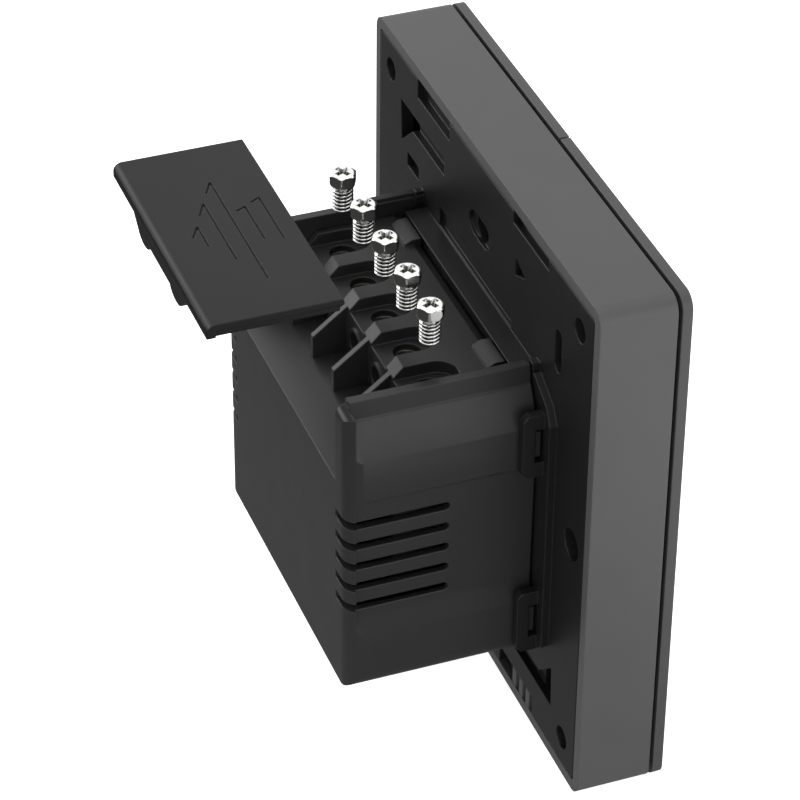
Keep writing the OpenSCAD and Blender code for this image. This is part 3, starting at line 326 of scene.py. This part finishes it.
plate, plate_in, plate_out = start_group(
    "plated_metal",
    {
        "Colour": ("Color", (0.8, 0.8, 0.8, 1)),
        "Dull colour": ("Color", (0.5, 0.5, 0.5, 1)),
        "Roughness": ("Float", 0.15),
        "Waviness": ("Float", 0.05),
    },
    {"Colour": "Color", "Roughness": "Float", "Normal": "Vector"},
)
where = add(plate, "ShaderNodeTexCoord").outputs["Object"]
tarnish = spread(plate, noise(plate, where, TARNISH_SCALE, 4.0), 0.0, MOST_TARNISH)
colour = mix(plate, tarnish, plate_in.outputs["Colour"], plate_in.outputs["Dull colour"])
join(plate, colour, plate_out.inputs["Colour"])
scuffs = spread(plate, noise(plate, where, SCUFF_SCALE, 3.0), -0.03, 0.05)
scuffed = maths(plate, "ADD", plate_in.outputs["Roughness"], scuffs)
join(plate, scuffed, plate_out.inputs["Roughness"])
soft_edge = add(plate, "ShaderNodeBevel", samples=6)
join(plate, BURR_ROUND, soft_edge.inputs["Radius"])
wave = add(plate, "ShaderNodeBump")
join(plate, WAVE_DEPTH, wave.inputs["Distance"])
join(plate, plate_in.outputs["Waviness"], wave.inputs["Strength"])
join(plate, noise(plate, where, WAVE_SCALE, 1.0), wave.inputs["Height"])
join(plate, soft_edge.outputs["Normal"], wave.inputs["Normal"])
join(plate, wave.outputs["Normal"], plate_out.inputs["Normal"])
print("plated metal:", len(plate.nodes), "nodes")


# %% Recipe for a metal
def metal(name, shade, dull, roughness, waviness):
    """A metal in the plated group."""
    return dressed(name, plate, ((*shade, 1), (*dull, 1), roughness, waviness), "Metallic", 1.0)


finishes["screw_metal"] = metal("bright_plating", (1.0, 1.0, 0.98), (0.88, 0.88, 0.84), 0.09, 0.04)
finishes["fixing_metal"] = metal("zinc_plating", (0.5, 0.5, 0.5), (0.3, 0.3, 0.28), 0.35, 0.1)
finishes["brass"] = metal("tinned_brass", (0.6, 0.58, 0.53), (0.42, 0.38, 0.3), 0.3, 0.1)
finishes["shield_can"] = metal("tinned_steel", (0.75, 0.75, 0.74), (0.5, 0.5, 0.48), 0.28, 0.15)
print("finishes so far:", len(finishes))

# %% [markdown]
# ## Clear plastic
# The light pipes and the fuse's tube let light through. They could be mixed from a
# glass and a transparent shader. One shader with a plain transmission value does it
# too, and an export can read that. Only the roughness changes over the surface.

# %% Clear plastic
ACRYLIC_IOR = 1.49
HAZE_SCALE = 1200.0
clear, tree, shader = new_material("clear_rod")
shader.inputs["Base Color"].default_value = (0.92, 0.94, 0.96, 1)
shader.inputs["Transmission Weight"].default_value = 0.85
shader.inputs["IOR"].default_value = ACRYLIC_IOR
haze = noise(tree, add(tree, "ShaderNodeTexCoord").outputs["Object"], HAZE_SCALE)
join(tree, spread(tree, haze, 0.08, 0.25), shader.inputs["Roughness"])
finishes["clear_plastic"] = clear
print("finishes in all:", len(finishes))

# %% [markdown]
# ## Which part gets which finish
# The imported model's parts keep their shapes, so they only need their finish and
# smooth shading. Each could be given its material one by one. The record names a
# slot for each kind of plastic and metal, so one list by slot says it all.

# %% Finish of each part
wears = {
    "frame_plastic": ["front_frame"],
    "key_plastic": ["key_left", "key_right"],
    "panel_plastic": ["back_panel"],
    "housing_plastic": ["rear_housing"],
    "terminal_plastic": ["terminal_block"],
    "cover_plastic": ["terminal_cover"],
    "inner_plastic": ["key_carrier", "tact_switch_left", "tact_switch_right",
                      "tact_plunger_left", "tact_plunger_right", "board_header"],
    "fixing_metal": ["panel_screws", "board_screws"],
    "brass": [f"terminal_clamp_{i}" for i in range(1, 6)],
    "circuit_board": ["control_board", "power_board"],
    "shield_can": ["wireless_module"],
    "relay_case": ["relay_left", "relay_right"],
    "ferrite": ["transformer"],
    "capacitor_sleeve": ["bulk_capacitor"],
    "film_case": ["film_capacitor"],
    "disc_coating": ["varistor"],
    "clear_plastic": ["light_pipe_left", "light_pipe_right", "status_leds", "fuse"],
    "screw_metal": [f"terminal_screw_{i}" for i in range(1, 6)],
}
for slot_name, members in wears.items():
    for member in members:
        mesh = nodes[member].data
        mesh.materials.clear()
        mesh.materials.append(finishes[slot_name])
print("parts with a finish:", sum(len(m) for m in wears.values()), "of", len(nodes))

# %% [markdown]
# ## Smooth shading
# The model comes as triangles. Walls that should look round must be shaded
# smoothly, and real corners must stay crisp. The edges could be marked in each mesh,
# but the part's own meshes stay as they are, so a modifier does it: it joins the
# triangles' corners, marks each edge that turns by more than an angle as sharp, and
# smooths the rest.

# %% Modifier: smooth rounds, crisp corners
CRISP = math.radians(28)
WELD = 0.002 * MM

tidy = bpy.data.node_groups.new("smooth_rounds", "GeometryNodeTree")
tidy.interface.new_socket("Mesh", in_out="INPUT", socket_type="NodeSocketGeometry")
tidy.interface.new_socket("Mesh", in_out="OUTPUT", socket_type="NodeSocketGeometry")
tidy_in, tidy_out = add(tidy, "NodeGroupInput"), add(tidy, "NodeGroupOutput")
weld = add(tidy, "GeometryNodeMergeByDistance")
join(tidy, WELD, weld.inputs["Distance"])
bend = add(tidy, "GeometryNodeInputMeshEdgeAngle")
sharp = add(tidy, "FunctionNodeCompare", operation="GREATER_THAN")
keep_crisp = add(tidy, "GeometryNodeSetShadeSmooth", domain="EDGE")
join(tidy, False, keep_crisp.inputs["Shade Smooth"])
smooth_faces = add(tidy, "GeometryNodeSetShadeSmooth", domain="FACE")
join(tidy, tidy_in.outputs[0], weld.inputs["Geometry"])
join(tidy, bend.outputs["Unsigned Angle"], sharp.inputs[0])
join(tidy, CRISP, sharp.inputs[1])
join(tidy, sharp.outputs[0], keep_crisp.inputs["Selection"])
join(tidy, weld.outputs["Geometry"], keep_crisp.inputs["Geometry"])
join(tidy, keep_crisp.outputs["Geometry"], smooth_faces.inputs["Geometry"])
join(tidy, smooth_faces.outputs["Geometry"], tidy_out.inputs[0])


def shade(piece):
    """Gives a piece the smoothing modifier."""
    piece.modifiers.new("smooth_rounds", "NODES").node_group = tidy


for part in nodes.values():
    shade(part)
print("shaded:", len(nodes))

# %% [markdown]
# ## The terminal screws
# Each screw is cut from bar: a chamfered hexagonal head with a cross recess, and a
# thread rolled on the shank. A thread could be a spiral curve with a small profile
# swept along it, but the joint with the core would show. Here the shank is one
# skin of rings, and each point's radius follows from its height and its angle, so
# the ridge climbs by one pitch each turn.

# %% Screw sizes, in millimetres
PITCH = 0.62
CREST_R = 1.6
ROOT_R = 1.26
RIDGE_PEAK, RIDGE_SLOPE = 1.35, 3.2  # the crest is flat where this passes 1
SHANK = 4.6
NECK, RUN_OUT = 0.25, 0.4  # bare length under the head, and where the thread fades
TIP_FLAT, TIP_ROUND = 0.02, 0.55
HEAD = 2.0
HEAD_FLAT = 1.84
HEAD_CORNER = 2.1
UNDER_R, UNDER_SLOPE = 1.95, 0.55  # the chamfer under the head
TOP_R, TOP_SLOPE, TOP_RIM = 1.68, 1.5, 0.06  # the chamfer on its top
HEAD_TURN = math.radians(32)
SIXTH = math.tau / 6


def within(value):
    """Keeps a value between 0 and 1."""
    return min(1.0, max(0.0, value))


def thread_radius(height, angle):
    """Radius of the shank at a height above its tip."""
    along = (height / PITCH - angle / math.tau) % 1.0
    ridge = within(RIDGE_PEAK - RIDGE_SLOPE * abs(along - 0.5))
    fade = within((SHANK - NECK - height) / RUN_OUT)
    radius = ROOT_R + (CREST_R - ROOT_R) * ridge * fade
    tip = within((height + TIP_FLAT) / TIP_ROUND)
    return radius * math.sqrt(1 - (1 - tip) ** 2)


def head_radius(height, angle):
    """Radius of the head at a height above its underside: a hexagon, chamfered."""
    off = (angle - HEAD_TURN) % SIXTH - SIXTH / 2
    hexagon = HEAD_FLAT / math.cos(off)
    under = UNDER_R + UNDER_SLOPE * height
    over = TOP_R + TOP_SLOPE * (HEAD - TOP_RIM - height)
    return min(hexagon, HEAD_CORNER, under, over)


print("turns of thread:", round((SHANK - NECK) / PITCH, 1))

# %% The screw's skin, ring by ring
AROUND = 72
RINGS_PER_TURN = 10
HEAD_RINGS = (0.0, 0.1, 0.27, 0.7, 1.3, 1.6, 1.7, 1.82, 1.94)
DOME = ((1.5, 1.98), (1.3, 2.0), (0.8, 2.0))


def to_object(name, bm):
    """Turns a bmesh into an object in the scene."""
    mesh = bpy.data.meshes.new(name)
    bm.to_mesh(mesh)
    bm.free()
    made = bpy.data.objects.new(name, mesh)
    bpy.context.scene.collection.objects.link(made)
    return made


def ring_skin(name, rings):
    """Makes an object from rings of (radius function, height), in millimetres."""
    bm = bmesh.new()
    rows = []
    for radius_at, height in rings:
        row = []
        for step in range(AROUND):
            angle = math.tau * step / AROUND
            r = radius_at(angle) * MM
            row.append(bm.verts.new((r * math.cos(angle), r * math.sin(angle), height * MM)))
        rows.append(row)
    for low, high in zip(rows, rows[1:]):
        for step in range(AROUND):
            after = (step + 1) % AROUND
            bm.faces.new((low[step], low[after], high[after], high[step]))
    bm.faces.new(list(reversed(rows[0])))
    bm.faces.new(rows[-1])
    return to_object(name, bm)


rings = []
steps = int(SHANK / PITCH * RINGS_PER_TURN)
for k in range(steps + 1):
    height = SHANK * k / steps
    rings.append((lambda a, h=height: thread_radius(h, a), height))
for height in HEAD_RINGS:
    rings.append((lambda a, h=height: head_radius(h, a), SHANK + height))
for radius, height in DOME:
    rings.append((lambda a, r=radius: r, SHANK + height))
blank = ring_skin("screw_blank", rings)
print("screw blank:", len(blank.data.vertices), "points")

# %% [markdown]
# ## The cross recess
# A screwdriver's cross fits a recess whose arms narrow downwards, so that the bit
# centres itself. It could be drawn as a dark cross on the head, but its walls would
# be missing when light falls in. Two crossed wedges are cut out with booleans, and
# the cut mesh is kept. The wedges and the blank are then thrown away.

# %% Two wedges, cut out of the blank
RECESS_TURN = 25  # degrees
RECESS_LOW = (0.55, 0.28, SHANK + HEAD - 1.1)
RECESS_HIGH = (1.4, 0.42, SHANK + HEAD + 0.2)
CORNERS = ((-1, -1), (1, -1), (1, 1), (-1, 1))
WEDGE_FACES = ((3, 2, 1, 0), (4, 5, 6, 7), (0, 1, 5, 4), (1, 2, 6, 5), (2, 3, 7, 6), (3, 0, 4, 7))


def recess_arm(turned):
    """A wedge that narrows downwards, for one arm of the cross."""
    bm = bmesh.new()
    corners = []
    for length, width, height in (RECESS_LOW, RECESS_HIGH):
        for sx, sy in CORNERS:
            corners.append(bm.verts.new((sx * length * MM, sy * width * MM, height * MM)))
    for quad in WEDGE_FACES:
        bm.faces.new([corners[i] for i in quad])
    bmesh.ops.rotate(bm, verts=bm.verts, cent=(0, 0, 0), matrix=Matrix.Rotation(turned, 3, "Z"))
    return to_object("recess_arm", bm)


arms = [recess_arm(math.radians(a)) for a in (RECESS_TURN, RECESS_TURN + 90)]
for arm in arms:
    cutter = blank.modifiers.new("recess", "BOOLEAN")
    cutter.operation, cutter.solver, cutter.object = "DIFFERENCE", "EXACT", arm
bpy.context.view_layer.update()
finished = blank.evaluated_get(bpy.context.evaluated_depsgraph_get())
cut_screw = bpy.data.meshes.new_from_object(finished)
for spent in arms + [blank]:
    bpy.data.objects.remove(spent)
cut_screw.materials.clear()
cut_screw.materials.append(finishes["screw_metal"])
print("cut screw:", len(cut_screw.polygons), "faces")

# %% [markdown]
# ## Painted shade in the threads and the recess
# The plating is painted near black in the thread's roots and in the cross recess, as
# painted shade for the dark reflections there; the crests and the head's flats stay
# bright. It could be painted by height, but the recess has none of its own. Ambient
# occlusion finds every hollow: where little open air is seen, the shade is painted.

# %% Painted shade in the screws' hollows
SHADE_REACH = 0.7 * MM
SHADED_TO_PLAIN = (0.5, 0.78)
# the colour of the painted shade in the screws' hollows
PAINTED_SHADE = (0.012, 0.012, 0.011, 1)
tree = finishes["screw_metal"].node_tree
shader = tree.nodes["Principled BSDF"]
plating_colour = shader.inputs["Base Color"].links[0].from_socket
hollow = add(tree, "ShaderNodeAmbientOcclusion", samples=8, only_local=True)
join(tree, SHADE_REACH, hollow.inputs["Distance"])
# painted shade: the plating turns near black where ambient occlusion finds a hollow
painted_shade_mask = remap(tree, hollow.outputs["AO"], SHADED_TO_PLAIN, 1.0, 0.0)
join(tree, mix(tree, painted_shade_mask, plating_colour, PAINTED_SHADE), shader.inputs["Base Color"])
print("screw plating:", len(tree.nodes), "nodes")

# %% [markdown]
# ## Five screws in their places
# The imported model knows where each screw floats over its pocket. The places could
# be typed in again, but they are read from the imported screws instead, so the new
# screws stay with them. Each one rides on its own body and stands for the plain
# screw, which is hidden.

# %% One copy for each terminal
for number in range(1, 6):
    low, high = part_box(f"terminal_screw_{number}")
    place = Vector(((low.x + high.x) / 2, (low.y + high.y) / 2, low.z))
    mesh = cut_screw.copy()
    mesh.transform(Matrix.Translation(place))
    screw = bpy.data.objects.new(f"clamp_screw_{number}", mesh)
    bpy.context.scene.collection.objects.link(screw)
    shade(screw)
    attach(screw, f"screw_{number}")
    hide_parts(f"terminal_screw_{number}")
print("screws in place:", number)

# %% [markdown]
# ## The studio
# A plain pale floor lies under the switch, and the air round it is evenly white,
# as in a catalogue photograph. On dark satin plastic most of the light that comes
# back is a blurred mirror image of the studio, so the surroundings matter more
# than the plastic's colour. A dark card behind the switch would keep the walls
# that look down from turning pale. The card is made in the paper itself: seen in a
# reflection, the floor behind the plate is dim, and far behind it is almost black,
# which gives the screws their dark facets. Seen by the eye the paper glows a little,
# so that it stays white to its far edge.

# %% Floor
floor_z = cad_box[0][2] - 0.05 * MM
FLOOR_HALF = 3.0
PAPER_WHITE, PAPER_GLOW = 0.93, 0.85
FRONT_GLOW, CARD_GLOW, FAR_CARD = 1.1, 0.2, 0.12
CARD_STARTS = (-0.055, -0.02)  # metres along Y
CARD_DARKENS = (0.06, 0.1)

bm = bmesh.new()
bm.faces.new([bm.verts.new((x * FLOOR_HALF, y * FLOOR_HALF, floor_z)) for x, y in CORNERS])
floor = to_object("studio_floor", bm)

paper, tree, shader = new_material("white_paper")
shader.inputs["Roughness"].default_value = 0.9
shader.inputs["Specular IOR Level"].default_value = 0.1
shader.inputs["Emission Strength"].default_value = 1.0
mirrored = add(tree, "ShaderNodeLightPath").outputs["Is Glossy Ray"]
floor_place = add(tree, "ShaderNodeSeparateXYZ")
join(tree, add(tree, "ShaderNodeTexCoord").outputs["Object"], floor_place.inputs["Vector"])
depth = floor_place.outputs["Y"]
near_card = remap(tree, depth, CARD_STARTS, FRONT_GLOW, CARD_GLOW)
far_card = remap(tree, depth, CARD_DARKENS, 1.0, FAR_CARD)
card = maths(tree, "MULTIPLY", near_card, far_card)
for socket, to_eye, to_mirror in (("Base Color", PAPER_WHITE, 0.0),
                                  ("Emission Color", PAPER_GLOW, card)):
    tone = add(tree, "ShaderNodeMix", data_type="FLOAT")
    for place, value in ((0, mirrored), (2, to_eye), (3, to_mirror)):
        join(tree, value, tone.inputs[place])
    join(tree, tone.outputs[0], shader.inputs[socket])
floor.data.materials.append(paper)
print("floor at z in mm:", round(floor_z / MM, 2))

# %% [markdown]
# ## The lights
# Small lamps would draw hard shadows and hot spots, so every light is a large
# softbox. Two of them shape the frame from above and from the side. A third
# stands low behind the far side. Nothing faces it but the sloped edges between the
# wire pockets, the tops of the fins and the rolled edge of the cover, which catch
# it as the narrow glints of the photograph.


# %% Lights
def softbox(name, place, target, size, power):
    """A square light that looks from its place at a target."""
    light = bpy.data.lights.new(name, "AREA")
    light.shape, light.size, light.energy = "SQUARE", size, power
    stand = bpy.data.objects.new(name, light)
    stand.location = place
    stand.rotation_euler = (Vector(target) - Vector(place)).to_track_quat("-Z", "Y").to_euler()
    bpy.context.scene.collection.objects.link(stand)
    return stand


middle = (0, 0.015, 0)
softbox("glint_light", (0.9, 0.66, 0.44), middle, 0.6, 2.8)
softbox("top_light", (0.1, -0.1, 1.2), middle, 0.9, 1.6)
softbox("side_light", (-1.1, -0.35, 0.35), middle, 0.8, 1.0)

world = bpy.data.worlds.new("studio_air")
world.use_nodes = True
air = world.node_tree.nodes["Background"]
air.inputs["Color"].default_value = (1, 1, 1, 1)
air.inputs["Strength"].default_value = 1.0
bpy.context.scene.world = world
bpy.context.scene.view_settings.view_transform = "Standard"

# %% [markdown]
# ## The size of the imported model
# The dressed model must stay the size of the imported one, so the imported
# model's box is printed.

# %% Print the imported box
print("packed:", [round(v / MM, 2) for corner in cad_box for v in corner])
